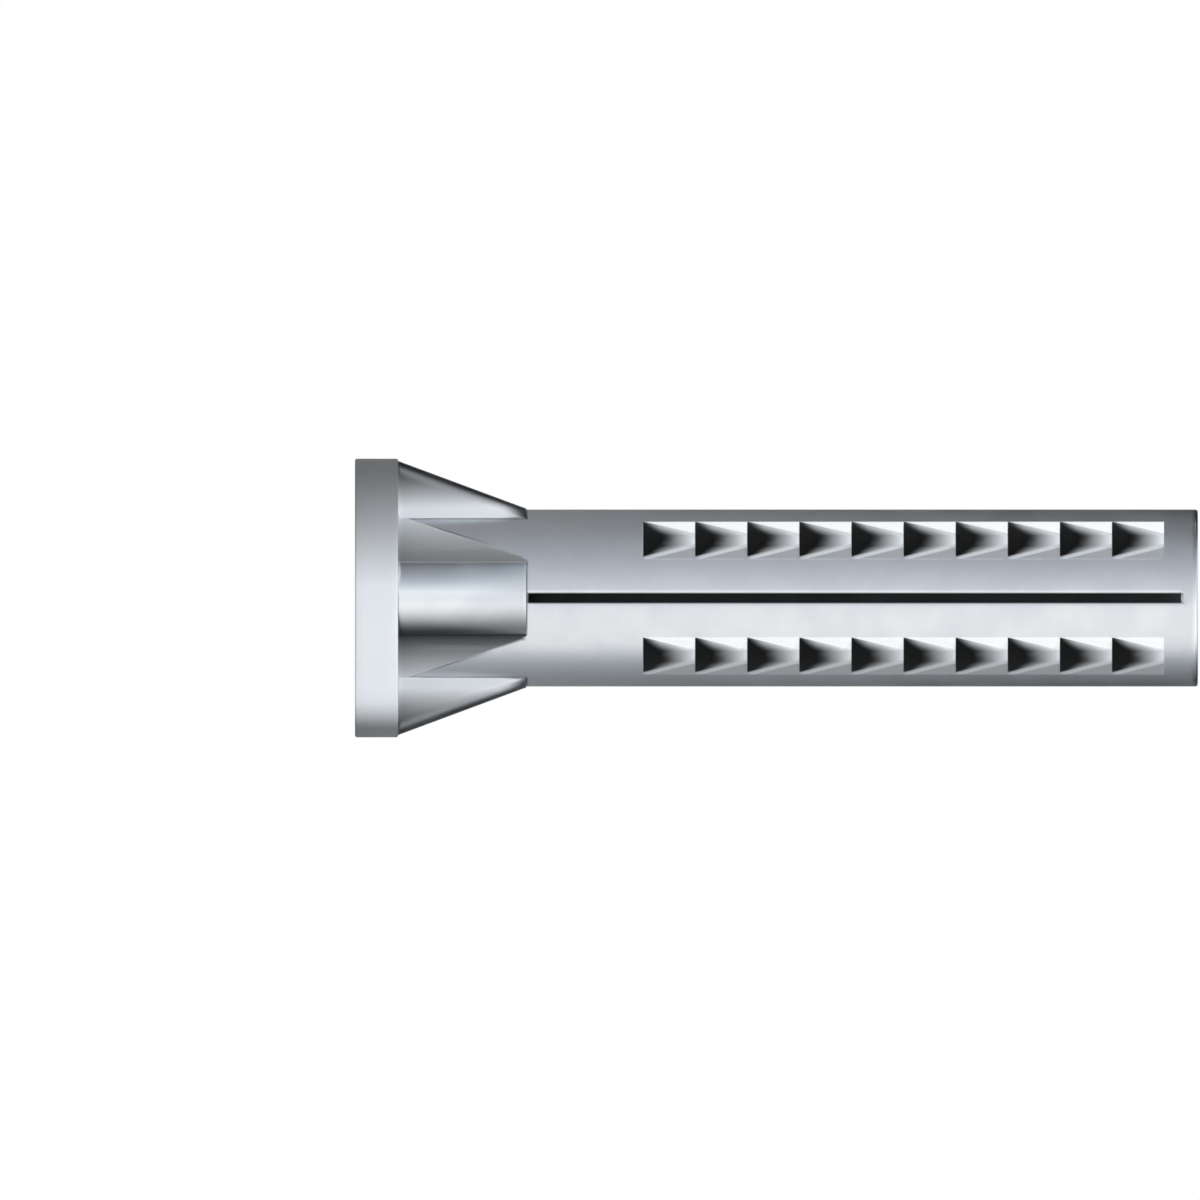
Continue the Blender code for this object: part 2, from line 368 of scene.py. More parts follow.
def collar_chalk_and_shading(angle, radius, z):
    """Where a chalky finish with painted light and shade covers the flange's rim and the gussets'
    flanks, and how pale its tone is.

    On the front and back gussets the painted tone pales with the square of the distance across,
    darker on the +X flank than on the -X one, and on the other two with the square of the nearness
    to the body. On the rim it is a painted highlight, palest in front. The front and back crests
    have a thin chalky film on their -X side, painted to lift the shade there.
    """
    folded = fold_angle(angle)
    x = np.abs(radius * np.sin(angle))
    collar = on_collar(z)
    flared = gusset_reach(folded, z, FLARED_ROOT)
    plain = gusset_reach(RIGHT_ANGLE - folded, z, PLAIN_ROOT)
    crest, _, edge_out, root, root_out = gusset_shape(z, FLARED_ROOT)
    edge = np.arctan2(CREST_HALF, edge_out)
    flared_root = np.arctan2(root, root_out)
    _, _, _, root, root_out = gusset_shape(z, PLAIN_ROOT)
    plain_root = np.arctan2(root, root_out)

    way = np.clip((x - CREST_HALF) / (BODY_RADIUS - CREST_HALF), 0.0, 1.0)
    above = toned(UPPER_FLANK_TONES, way)
    below = toned(LOWER_FLANK_TONES, way)
    # Painted shade: the +X flank takes darker tones than the -X one, and both pale away from the crest
    flared_tone = np.where(np.sin(angle) < 0, above, below)
    on_flank = (folded > edge - HAIR_TURN) & (folded < flared_root + HAIR_TURN)
    flared_here = collar & (flared >= plain) & on_flank

    near = np.clip((FLANGE_RADIUS - CREST_INSET * 2 - x) / SIDE_TONE_DEPTH, 0.0, 1.0)
    plain_tone = toned(SIDE_FLANK_TONES, near)
    turn = RIGHT_ANGLE - folded
    side = smooth_step(*SIDE_CREST_RUN, turn / edge)
    side = side * smooth_step(*SIDE_CREST_RISE, crest - BODY_RADIUS)
    plain_here = np.where(collar & (plain > flared) & (turn < plain_root + HAIR_TURN), side, 0.0)

    # Painted light on the rim: palest in front, darker on the +X side, paler again behind
    degrees = np.degrees(np.arctan2(np.sin(angle), np.cos(angle)))
    paling = np.clip((degrees - RIM_PALES_FROM) / RIM_PALES_OVER, 0.0, 1.0) ** 2
    least = RIM_LEAST + RIM_LEAST_RISE * smooth_step(*RIM_LEAST_RUN, degrees)
    most = RIM_MOST + RIM_MOST_RISE * smooth_step(*RIM_MOST_RUN, degrees)
    rim_tone = least + most * paling * (1 - smooth_step(*RIM_DARKENS_RUN, degrees))
    rim_tone = rim_tone + RIM_BEHIND * smooth_step(*RIM_BEHIND_RUN, np.abs(degrees))
    rim = (z <= FLANGE_THICKNESS + HAIR) & (radius > FLANGE_RADIUS - RIM_EDGE * 0.9)

    chalk_and_shading = np.where(flared_here, 1.0, plain_here)
    tone = np.where(plain > flared, plain_tone, flared_tone)
    # A thin mid-grey chalky film on the -X side of the front and back crests, a painted lift of the
    # shade there
    lifted_crest = collar & (flared >= plain) & (folded <= edge - HAIR_TURN) & (np.sin(angle) < 0)
    rise = np.clip((crest - BODY_RADIUS) / FULL_RISE, 0.0, 1.0)
    crest_lift = CREST_PAINTED_LIFT * smooth_step(*CREST_LIFT_RUN, folded / edge) * rise
    chalk_and_shading = np.where(lifted_crest, crest_lift, chalk_and_shading)
    tone = np.where(lifted_crest, CREST_LIFT_TONE, tone)
    return np.where(rim, RIM_SHADING_COVER, chalk_and_shading), np.clip(np.where(rim, rim_tone, tone), 0.0, 1.0)


def crest_shade_and_highlight(angle, z):
    """Painted shade on the +X side of the front and back crests, and a painted highlight on the other.

    The painted shade grows with the way from the crest's middle. The painted highlight fades with
    the crest's rise over the body.
    """
    folded = fold_angle(angle)
    crest, _, edge_out, _, _ = gusset_shape(z, FLARED_ROOT)
    edge = np.arctan2(CREST_HALF, edge_out)
    share = folded / edge
    here = on_collar(z) & (share <= 1.01)
    rise = np.clip((crest - BODY_RADIUS) / FULL_RISE, 0.0, 1.0)
    dark = np.where(here & (np.sin(angle) > 0), smooth_step(*CREST_SHADE_RUN, share), 0.0)
    bright = np.where(here & (np.sin(angle) < 0), smooth_step(*CREST_HIGHLIGHT_RUN, share) * rise, 0.0)
    return dark, bright


def barb_planes():
    """Slopes of a barb's side ramp, from the three corners that it passes through."""
    lift = np.array([BARB_HEIGHT - FOOT_HEIGHT, NOSE_HEIGHT - FOOT_HEIGHT])
    sides = np.array([[BARB_FACE, BARB_HALF], [NOSE_AT, BARB_HALF - NOSE_HALF]])
    return np.linalg.solve(sides, lift)


def barb_place(x, z):
    """Place in a barb's own plan: along it from its flange end, and across it from its middle."""
    past = z - BARB_START
    number = np.clip(np.floor((past + HAIR) / BARB_PITCH), 0, BARBS_IN_ROW - 1)
    return past - number * BARB_PITCH, np.abs(x) - BARB_MIDDLE


def funnel_half(along):
    """Half width of the plough between its side facets, full at the flange end, least at the nose."""
    return BARB_HALF + (NOSE_HALF - BARB_HALF) * np.clip(along / NOSE_AT, 0.03, 1.0)


def lay_columns_on_funnel(angle, z):
    """Move the columns over the barbs so that one on each side follows the plough's edge.

    Inside the plough and in the facet beside it the columns stay evenly spaced. Before the first
    barb and after the last one they ease to and from their plain places.
    """
    x = BODY_RADIUS * np.sin(angle)
    along, across = barb_place(x, z)
    before = smooth_step(SLIT_START, BARB_START - BARB_APPROACH, z)
    after = 1 - smooth_step(BARBS_END, SLIT_END, z)
    over = np.abs(across) < BARB_HALF
    plain = BARB_HALF * PLOUGH_COLUMNS / BARB_COLUMNS
    edge = funnel_half(along)
    off = np.abs(across)
    inner = off * edge / plain
    outer = edge + (off - plain) * (BARB_HALF - edge) / (BARB_HALF - plain)
    moved = np.where(off <= plain, inner, outer) * np.sign(across)
    moved = across + (moved - across) * before * after
    new_x = (BARB_MIDDLE + moved) * np.sign(x)
    folded = np.arcsin(np.clip(np.abs(new_x) / BODY_RADIUS, 0.0, 1.0))
    back = np.cos(angle) < 0
    turned = np.where(back, math.pi - folded, folded)
    turned = np.where(x < 0, 2 * math.pi - turned, turned)
    return np.where(over, turned, angle)


def barb_lift(x, z):
    """Height of the barbs over the body, along Y.

    Each is the lowest of the leaning face towards the flange, the ramp down to the nose, the two
    side ramps and the nose's own end. A low facet lies on either side.
    """
    along, across = barb_place(x, z)
    off = np.abs(across)
    inside = (z > BARB_START - HAIR) & (along < BARB_LENGTH + HAIR) & (off <= BARB_HALF + HAIR)
    face = FOOT_HEIGHT + (BARB_HEIGHT - FOOT_HEIGHT) * along / BARB_FACE
    fall = (NOSE_HEIGHT - BARB_HEIGHT) / (NOSE_AT - BARB_FACE)
    ramp = BARB_HEIGHT + fall * (along - BARB_FACE)
    slope_along, slope_across = barb_planes()
    side = FOOT_HEIGHT + slope_along * along + slope_across * (BARB_HALF - off)
    end = FOOT_HEIGHT + (NOSE_HEIGHT - FOOT_HEIGHT) * (BARB_LENGTH - along) / (BARB_LENGTH - NOSE_AT)
    plough = soft_min(soft_min(face, ramp, BARB_SOFTNESS), side, BARB_SOFTNESS)
    facet_slope = (NOSE_HEIGHT - FOOT_HEIGHT) / (BARB_HALF - NOSE_HALF)
    facet = FOOT_HEIGHT + facet_slope * (BARB_HALF - off) * along / NOSE_AT
    shape = np.minimum(soft_max(plough, facet, BARB_SOFTNESS / 2), np.maximum(end, 0.0))
    rim = np.clip((BARB_HALF - off) / FOOT_RUN, 0.0, 1.0)
    ends = np.clip(np.minimum(along, BARB_LENGTH - along) / FOOT_END_RUN, 0.0, 1.0)
    return np.where(inside, np.maximum(shape, 0.0) * rim * ends, 0.0)


# Rows up each part of the outside. From the slit's start to its end they come to 248, which is a
# whole number of the bore's rows, each as tall as eight of them.
FILLET_ROWS = 4
GUSSET_ROWS = 32
APPROACH_ROWS = 19
BARB_ROWS = 20
LAST_SLIT_ROWS = 8
WEB_ROWS = 4
ROWS_PER_BORE_ROW = 8
THIN_ROW = 0.03 * MM
BARB_JUMP = 0.012 * MM

# Rows round the edges of the ends
RIM_EDGE_ROWS = 4
TIP_EDGE_ROWS = 4
BORE_EDGE_ROWS = 3


def outer_heights():
    """Heights of the rows up the outside, with an exact row at each edge that matters."""
    parts = [
        (FLANGE_THICKNESS, FLANGE_THICKNESS + FLANGE_FILLET, FILLET_ROWS),
        (FLANGE_THICKNESS + FLANGE_FILLET, GUSSET_END, GUSSET_ROWS),
        (GUSSET_END, GUSSET_END + THIN_ROW, 1),
        (GUSSET_END + THIN_ROW, SLIT_START, 1),
        (SLIT_START, BARB_START - THIN_ROW, APPROACH_ROWS),
        (BARB_START - THIN_ROW, BARB_START, 1),
    ]
    for number in range(BARBS_IN_ROW):
        start = BARB_START + number * BARB_PITCH
        jump = start + BARB_PITCH - BARB_JUMP
        parts.append((start, start + BARB_LENGTH, BARB_ROWS))
        parts.append((start + BARB_LENGTH, jump, 1))
        parts.append((jump, start + BARB_PITCH, 1))
    parts.append((BARBS_END, SLIT_END, LAST_SLIT_ROWS))
    parts.append((SLIT_END, TIP_Z - TIP_EDGE, WEB_ROWS))
    return runs(*parts)


def arc_rows(centre_r, centre_z, radius, start, end, steps):
    """Radii and heights along a round edge, from one angle to another, both included."""
    angle = np.linspace(start, end, steps + 1)
    return centre_r + radius * np.cos(angle), centre_z + radius * np.sin(angle)


def sleeve_grid():
    """Whole skin as one closed grid: rows run round the section, columns round the axis.

    Rows go out along the flange's face, round its rim, in along its underside, up the collar and
    body, over the tip and down the bore. Returns angle, radius and height for each row and column,
    and the first and last slit row outside and in the bore.
    """
    rim = FLANGE_RADIUS - RIM_EDGE
    blocks = []

    def add(radius, height):
        blocks.append((np.asarray(radius, dtype=float), np.asarray(height, dtype=float)))

    def rows_so_far():
        return sum(len(radius) for radius, _ in blocks)

    face = np.linspace(MOUTH_RADIUS + BORE_EDGE, rim, 11)[:-1]
    add(face, np.zeros(len(face)))
    add(*arc_rows(rim, RIM_EDGE, RIM_EDGE, -RIGHT_ANGLE, 0.0, RIM_EDGE_ROWS))
    between = np.linspace(RIM_EDGE, FLANGE_THICKNESS - RIM_EDGE, 7)[1:-1]
    add(np.full(len(between), FLANGE_RADIUS), between)
    top_edge = FLANGE_THICKNESS - RIM_EDGE
    add(*arc_rows(rim, top_edge, RIM_EDGE, 0.0, RIGHT_ANGLE, RIM_EDGE_ROWS))
    under_first = rows_so_far()
    share = np.linspace(0.0, 1.0, 12)[1:-1]
    add(np.full(len(share), BODY_RADIUS), np.full(len(share), FLANGE_THICKNESS))
    outer_first = rows_so_far()
    heights = outer_heights()
    add(np.full(len(heights), BODY_RADIUS), heights)
    outer_last = rows_so_far() - 1
    tip_outer = BODY_RADIUS - TIP_EDGE
    tip_edge = arc_rows(tip_outer, TIP_Z - TIP_EDGE, TIP_EDGE, 0.0, RIGHT_ANGLE, TIP_EDGE_ROWS)
    add(tip_edge[0][1:], tip_edge[1][1:])
    tip_inner = TIP_BORE_RADIUS + BORE_EDGE
    tip_face = np.linspace(tip_outer, tip_inner, 9)[1:-1]
    add(tip_face, np.full(len(tip_face), TIP_Z))
    bore_end = TIP_Z - BORE_EDGE
    add(*arc_rows(tip_inner, bore_end, BORE_EDGE, RIGHT_ANGLE, 2 * RIGHT_ANGLE, BORE_EDGE_ROWS))

    first = int(np.argmin(abs(heights - SLIT_START)))
    last = int(np.argmin(abs(heights - SLIT_END)))
    slit_out = (outer_first + first, outer_first + last)
    shared = heights[first:last + 1][::ROWS_PER_BORE_ROW][::-1]
    bore_z = np.concatenate([shared, np.linspace(SLIT_START, FLARE_DEPTH, 8)[1:]])
    bore_share = (bore_z - FLARE_DEPTH) / (TIP_Z - FLARE_DEPTH)
    bore_first = rows_so_far()
    add(COLLAR_BORE_RADIUS + (TIP_BORE_RADIUS - COLLAR_BORE_RADIUS) * bore_share, bore_z)
    slit_in = (bore_first, bore_first + len(shared) - 1)
    flare_z = np.linspace(FLARE_DEPTH, BORE_EDGE, 5)[1:-1]
    flare_share = 1 - flare_z / FLARE_DEPTH
    add(COLLAR_BORE_RADIUS + (MOUTH_RADIUS - COLLAR_BORE_RADIUS) * flare_share, flare_z)
    mouth_turn = 2 * RIGHT_ANGLE, 3 * RIGHT_ANGLE
    mouth = arc_rows(MOUTH_RADIUS + BORE_EDGE, BORE_EDGE, BORE_EDGE, *mouth_turn, BORE_EDGE_ROWS)
    add(mouth[0][:-1], mouth[1][:-1])

    row_radius = np.concatenate([radius for radius, _ in blocks])
    row_height = np.concatenate([height for _, height in blocks])
    angle = turned_columns(row_height, row_radius)
    height = np.repeat(row_height[:, None], angle.shape[1], axis=1)
    radius = np.repeat(row_radius[:, None], angle.shape[1], axis=1)

    outside = slice(outer_first, outer_last + 1)
    angle[outside] = lay_columns_on_funnel(angle[outside], height[outside])
    radius[outside] = body_reach(angle[outside], height[outside])
    collar = radius[outer_first]
    radius[under_first:outer_first] = rim + (collar - rim) * share[:, None]
    plain = turned_columns(np.full(1, BARB_START), np.full(1, BODY_RADIUS))
    calm = smooth_step(SLIT_START, FLARE_DEPTH, height[bore_first:])
    angle[bore_first:] = angle[bore_first:] + (plain - angle[bore_first:]) * calm
    spread = np.linspace(0.0, 1.0, under_first)[:, None]
    angle[:under_first] = plain + (angle[under_first] - plain) * spread
    return angle, radius, height, (outer_first, outer_last), slit_out, slit_in


def sleeve_faces(rows, columns, slit_out, slit_in):
    """Corner numbers of all faces: the grid's cells, less the slit, plus the slit's walls.

    The slit takes away the two cells beside the front column, outside and in the bore. Each wall
    face has eight outer steps and one step of the bore between them.
    """
    row = np.arange(rows)[:, None]
    column = np.arange(columns)[None, :]
    after_row = (row + 1) % rows
    after_column = (column + 1) % columns
    cells = np.stack(
        [
            row * columns + column,
            row * columns + after_column,
            after_row * columns + after_column,
            after_row * columns + column,
        ],
        axis=-1,
    )
    keep = np.ones((rows, columns), dtype=bool)
    left, middle, right = columns - 1, 0, 1
    for first, last in (slit_out, slit_in):
        keep[first:last, [left, middle]] = False
    faces = [cells[keep]]

    steps = np.arange(slit_in[1] - slit_in[0])
    outer_count = (slit_out[1] - slit_out[0]) // len(steps)
    outer_rows = slit_out[0] + steps[:, None] * outer_count + np.arange(outer_count + 1)[None, :]
    inner_rows = slit_in[1] - steps
    inner_rows = np.stack([inner_rows - 1, inner_rows], axis=1)
    wall_rows = np.concatenate([outer_rows, inner_rows], axis=1)
    faces.append(wall_rows * columns + left)
    faces.append((wall_rows * columns + right)[:, ::-1])
    for out_row, in_row, step in ((slit_out[0], slit_in[1], 1), (slit_out[1], slit_in[0], -1)):
        for start, end in ((left, middle), (middle, right)):
            corners = [out_row * columns + start, out_row * columns + end]
            corners += [in_row * columns + end, in_row * columns + start]
            faces.append(np.array([corners[::step]]))
    return faces


def unit(vectors):
    """Vectors scaled to a length of one, but for those that have no length."""
    return vectors / (np.linalg.norm(vectors, axis=-1, keepdims=True) + 1e-12)


def bend_of(points):
    """How sharply the grid bends outwards at each point, from the turn of its edges both ways."""
    def turn(axis):
        ahead = unit(np.roll(points, -1, axis=axis) - points)
        behind = unit(points - np.roll(points, 1, axis=axis))
        return behind - ahead, ahead + behind

    row_turn, row_way = turn(0)
    column_turn, column_way = turn(1)
    normal = unit(np.cross(column_way, row_way))
    return np.sum((row_turn + column_turn) * normal, axis=-1)


# A point's place along a barb where there is none, in millimetres, and how near the slit plane the
# barbs' looks come
OFF_BARBS = -9.0
BARB_LOOKS_FROM = BARB_NEAR * 0.6

# Where edge wear and the painted shade in creases begin, as a bend of the surface, and how much
# more bend brings them to full
EDGE_BEND = 0.06
EDGE_BEND_RANGE = 0.30
HOLLOW_BEND = 0.04
HOLLOW_BEND_RANGE = 0.25

# How far in from its mouth and from its end the bore's painted shade grows to full
MOUTH_DARK_FROM = 0.5 * MM
MOUTH_DARK_TO = 5.0 * MM
TIP_DARK_TO = 0.9 * MM

# Least turn between two faces that leaves a sharp edge between them
SHARP_FROM = math.radians(38.0)


def anchor_skin():
    """The finished casting as one closed mesh, with the masks that its material reads."""
    angle, radius, height, outer_rows, slit_out, slit_in = sleeve_grid()
    rows, columns = angle.shape
    outer = np.zeros((rows, 1), dtype=bool)
    outer[outer_rows[0]:outer_rows[1] + 1] = True
    x = radius * np.sin(angle)
    y = -radius * np.cos(angle)
    lift = np.where(outer, barb_lift(BODY_RADIUS * np.sin(angle), height), 0.0)
    y = y + np.sign(y) * lift
    points = np.stack([x, y, height], axis=-1)

    mesh = bpy.data.meshes.new("cast_sleeve")
    faces = sleeve_faces(rows, columns, slit_out, slit_in)
    corners = [face for block in faces for face in block.tolist()]
    mesh.from_pydata(points.reshape(-1, 3), [], corners)

    along, _ = barb_place(x, height)
    upward = -x + np.sign(x) * BARB_MIDDLE
    row = np.arange(rows)[:, None] + np.zeros((1, columns))
    inside = row > outer_rows[1] + TIP_EDGE_ROWS
    # Painted shade in the bore: full deep inside, fading towards the mouth and towards the end
    depth = smooth_step(MOUTH_DARK_FROM, MOUTH_DARK_TO, height)
    depth = np.minimum(depth, smooth_step(0.0, TIP_DARK_TO, TIP_Z - height))
    chalk_and_shading, shading_tone = collar_chalk_and_shading(angle, radius, height)
    shaded_side, highlit_side = crest_shade_and_highlight(angle, height)
    bend = bend_of(points)
    in_row = (height > BARB_START - BARB_APPROACH) & (height < BARBS_END + BARB_APPROACH)
    off_axis = np.abs(x) > BARB_LOOKS_FROM
    calm = np.where(in_row & outer & off_axis, 0.0, 1.0)
    # Besides edge, which is wear on convex edges, these masks place painted light and shade: in
    # creases, in the bore, on the crests, on the collar with its chalky finish, and through the barb
    # places on the barbs
    masks = {
        "barb_along": np.where(outer & off_axis, along / MM, OFF_BARBS),
        "barb_across": upward / MM,
        "chalk_and_shading": np.where(row <= outer_rows[1], chalk_and_shading, 0.0),
        "shading_tone": shading_tone,
        "crest_painted_shade": np.where(outer, shaded_side, 0.0),
        "crest_painted_highlight": np.where(outer, highlit_side, 0.0),
        "bore_shade": np.where(inside, depth, 0.0),
        "edge": np.clip((bend - EDGE_BEND) / EDGE_BEND_RANGE, 0.0, 1.0) * calm,
        "crease_shade": np.clip((-bend - HOLLOW_BEND) / HOLLOW_BEND_RANGE, 0.0, 1.0) * calm,
    }
    for name, values in masks.items():
        layer = mesh.attributes.new(name, "FLOAT", "POINT")
        layer.data.foreach_set("value", values.astype(np.float32).ravel())
    drop_unused(mesh)
    mesh.validate()
    mesh.shade_smooth()
    mesh.set_sharp_from_angle(angle=SHARP_FROM)
    sleeve = bpy.data.objects.new("cast_sleeve", mesh)
    bpy.context.scene.collection.objects.link(sleeve)
    return sleeve


def drop_unused(mesh):
    """Remove points that no face uses, such as those down the middle of the slit."""
    bm = bmesh.new()
    bm.from_mesh(mesh)
    bmesh.ops.delete(bm, geom=[v for v in bm.verts if not v.link_faces], context="VERTS")
    bm.to_mesh(mesh)
    bm.free()


def new_group(name, inputs, outputs):
    """An empty shader node group with named float or colour sockets and its two end nodes."""
    group = bpy.data.node_groups.new(name, "ShaderNodeTree")
    for label, kind, value in inputs:
        socket = group.interface.new_socket(name=label, in_out="INPUT", socket_type=kind)
        socket.default_value = value
    for label, kind in outputs:
        group.interface.new_socket(name=label, in_out="OUTPUT", socket_type=kind)
    return group, group.nodes.new("NodeGroupInput"), group.nodes.new("NodeGroupOutput")


def math_node(tree, operation, first, second=None, third=None, clamp=False):
    """A Math node whose inputs are sockets or plain numbers; returns its output socket."""
    node = tree.nodes.new("ShaderNodeMath")
    node.operation = operation
    node.use_clamp = clamp
    for index, value in enumerate((first, second, third)):
        if value is None:
            continue
        if isinstance(value, (int, float)):
            node.inputs[index].default_value = value
        else:
            tree.links.new(value, node.inputs[index])
    return node.outputs[0]


def mix_colour(tree, factor, first, second):
    """Mix two colours, each a socket or four numbers, by a factor socket; returns the output."""
    node = tree.nodes.new("ShaderNodeMix")
    node.data_type = "RGBA"
    tree.links.new(factor, node.inputs["Factor"])
    for socket, value in ((node.inputs[6], first), (node.inputs[7], second)):
        if isinstance(value, tuple):
            socket.default_value = value
        else:
            tree.links.new(value, socket)
    return node.outputs[2]


def noise(tree, vector, scale, detail, roughness):
    """A Noise texture on the given vector, its scale in cycles per metre."""
    node = tree.nodes.new("ShaderNodeTexNoise")
    tree.links.new(vector, node.inputs["Vector"])
    if isinstance(scale, (int, float)):
        node.inputs["Scale"].default_value = scale
    else:
        tree.links.new(scale, node.inputs["Scale"])
    node.inputs["Detail"].default_value = detail
    node.inputs["Roughness"].default_value = roughness
    return node.outputs["Fac"]


# Grain of the cast surface: its scale in cycles per metre, how much finer its pits are and how much
# coarser its patches, and the shares of peel and pits in its height
GRAIN_SCALE = 1800.0
PITS_FINER = 4.0
PATCHES_COARSER = 0.22
PEEL_SHARE = 0.7
PIT_SHARE = 0.3
GRAIN_STRENGTH = 0.25
GRAIN_DEPTH = 0.02 * MM


def casting_grain():
    """Group: the fine orange-peel of a gravity casting, as a height and a patchy value."""
    group, given, result = new_group(
        "casting_grain",
        [("Vector", "NodeSocketVector", (0.0, 0.0, 0.0)), ("Scale", "NodeSocketFloat", GRAIN_SCALE)],
        [("Height", "NodeSocketFloat"), ("Patches", "NodeSocketFloat")],
    )
    vector = given.outputs["Vector"]
    scale = given.outputs["Scale"]
    peel = noise(group, vector, scale, 3.0, 0.55)
    pits = noise(group, vector, math_node(group, "MULTIPLY", scale, PITS_FINER), 2.0, 0.5)
    coarser = math_node(group, "MULTIPLY", scale, PATCHES_COARSER)
    patches = noise(group, vector, coarser, 3.0, 0.6)
    peel_height = math_node(group, "MULTIPLY", peel, PEEL_SHARE)
    pit_depth = math_node(group, "MULTIPLY", pits, PIT_SHARE)
    height = math_node(group, "ADD", peel_height, pit_depth)
    group.links.new(height, result.inputs["Height"])
    group.links.new(patches, result.inputs["Patches"])
    return group


def ease(tree, value, low, high):
    """Map Range node: 0 below low and 1 above high, eased between; high may be the smaller."""
    node = tree.nodes.new("ShaderNodeMapRange")
    node.interpolation_type = "SMOOTHSTEP"
    node.inputs["From Min"].default_value = low
    node.inputs["From Max"].default_value = high
    tree.links.new(value, node.inputs["Value"])
    return node.outputs["Result"]


# Painted shadow on a barb, in millimetres: how far along it stays black, over how much it clears
# to a painted lit ramp and to which power, from how far above and below the middle line the
# chevrons lean towards the nose, and how that lean grows along the barb from its least share
BLACK_TO = 0.75
CLEARS_OVER = 1.50
CLEARING_POWER = 1.75
LEANS_ABOVE = 0.20
LEANS_BELOW = 0.25
LEAN_ABOVE = 2.0
LEAN_ABOVE_SQUARED = 1.9
LEAN_BELOW = 2.3
CHEVRON_OPENS = 0.70
CHEVRON_LEAST = 0.45

# Soft edges of the parts of a barb, in millimetres from where each one lies
FUNNEL_RUN = (0.03, -0.03)
FACET_RUN = (-0.05, 0.06)
LINE_UP_RUN = (-0.10, -0.05)
LINE_DOWN_RUN = (0.14, 0.04)
SHADE_RUN = (-0.04, -0.10)


def barb_painted_light():
    """Group: where a barb's painted shadow, painted lit facet and painted highlight line lie.

    Along and across are in millimetres from the barb's flange end and its middle line. The
    painted shadow starts black on the leaning face and clears towards the nose, in chevrons, by a
    power of the way there. The painted highlight line follows the plough's lower edge with painted
    shade under it, and the chalky facet, painted as lit, lies above the upper edge.
    """
    group, given, result = new_group(
        "barb_painted_light",
        [("Along", "NodeSocketFloat", OFF_BARBS), ("Across", "NodeSocketFloat", 0.0)],
        [(name, "NodeSocketFloat") for name in ("Funnel", "Clearing", "Facet", "Line", "Shade")],
    )
    along = given.outputs["Along"]
    across = given.outputs["Across"]
    off = math_node(group, "ABSOLUTE", across)
    slope = (BARB_HALF - NOSE_HALF) / NOSE_AT
    half = math_node(group, "MULTIPLY_ADD", along, -slope, BARB_HALF / MM)
    over = math_node(group, "SUBTRACT", off, half)
    above = math_node(group, "SUBTRACT", across, half)
    below = math_node(group, "ADD", across, half)
    starts = ease(group, along, -0.02, 0.02)
    ends = ease(group, along, BARB_PITCH / MM + 0.01, BARB_PITCH / MM - 0.02)
    cell = math_node(group, "MULTIPLY", starts, ends)
    beside = ease(group, off, BARB_HALF / MM + 0.02, BARB_HALF / MM - 0.03)
    cell = math_node(group, "MULTIPLY", cell, beside)
    funnel = math_node(group, "MULTIPLY", cell, ease(group, over, *FUNNEL_RUN))
    facet = math_node(group, "MULTIPLY", cell, ease(group, above, *FACET_RUN))
    line_up = ease(group, below, *LINE_UP_RUN)
    line = math_node(group, "MULTIPLY", line_up, ease(group, below, *LINE_DOWN_RUN))
    line = math_node(group, "MULTIPLY", cell, line)
    shade = math_node(group, "MULTIPLY", cell, ease(group, below, *SHADE_RUN))
    upper = math_node(group, "MAXIMUM", math_node(group, "SUBTRACT", across, LEANS_ABOVE), 0.0)
    leaning = math_node(group, "MULTIPLY_ADD", upper, LEAN_ABOVE_SQUARED, LEAN_ABOVE)
    upper = math_node(group, "MULTIPLY", upper, leaning)
    lower = math_node(group, "MULTIPLY_ADD", across, -1.0, -LEANS_BELOW)
    lower = math_node(group, "MAXIMUM", lower, 0.0)
    aside = math_node(group, "MULTIPLY_ADD", lower, LEAN_BELOW, upper)
    opening = math_node(group, "MULTIPLY_ADD", along, CHEVRON_OPENS, CHEVRON_LEAST, clamp=True)
    way = math_node(group, "MULTIPLY_ADD", aside, opening, along)
    cleared = math_node(
        group, "MULTIPLY_ADD", way, 1 / CLEARS_OVER, -BLACK_TO / CLEARS_OVER, clamp=True
    )
    cleared = math_node(group, "POWER", cleared, CLEARING_POWER)
    masks = {"Funnel": funnel, "Clearing": cleared, "Facet": facet, "Line": line, "Shade": shade}
    for name, value in masks.items():
        group.links.new(value, result.inputs[name])
    return group


def attribute(tree, name):
    """Socket with the value of one of the mesh's masks."""
    node = tree.nodes.new("ShaderNodeAttribute")
    node.attribute_name = name
    return node.outputs["Fac"]


def grey(level, cool=0.05):
    """A grey of this brightness, its red less and its blue more by the share that makes it cool."""
    return (level * (1 - cool), level, level * (1 + cool), 1.0)


DULL_LEAD = (0.595, 0.63, 0.675, 1.0)
CLEAN_LEAD = (0.645, 0.675, 0.715, 1.0)
BARE_EDGE = grey(0.90)
# Dark grey of the painted shade in creases and deep in the bore
PAINTED_SHADE = grey(0.10)
# Painted shade and painted highlight of the front and back crests
CREST_PAINTED_SHADE = grey(0.03)
CREST_PAINTED_HIGHLIGHT = grey(0.93)
# Painted light and shade of the barbs: lit facet, shade under the plough, shadow on the leaning face,
# lit ramp, highlight line
PAINTED_LIT_FACET = grey(0.93, 0.02)
PLOUGH_PAINTED_SHADE = grey(0.29)
PAINTED_SHADOW_FACE = grey(0.014)
PAINTED_LIT_RAMP = grey(0.72)
PAINTED_HIGHLIGHT_LINE = grey(0.55)

# How strongly each mask shows
EDGE_SHARE = 0.25
CREASE_SHADE_SHARE = 0.85
CREST_SHADE_SHARE = 0.85
CREST_HIGHLIGHT_SHARE = 0.70
SHADE_SHARE = 0.85
LINE_SHARE = 0.8

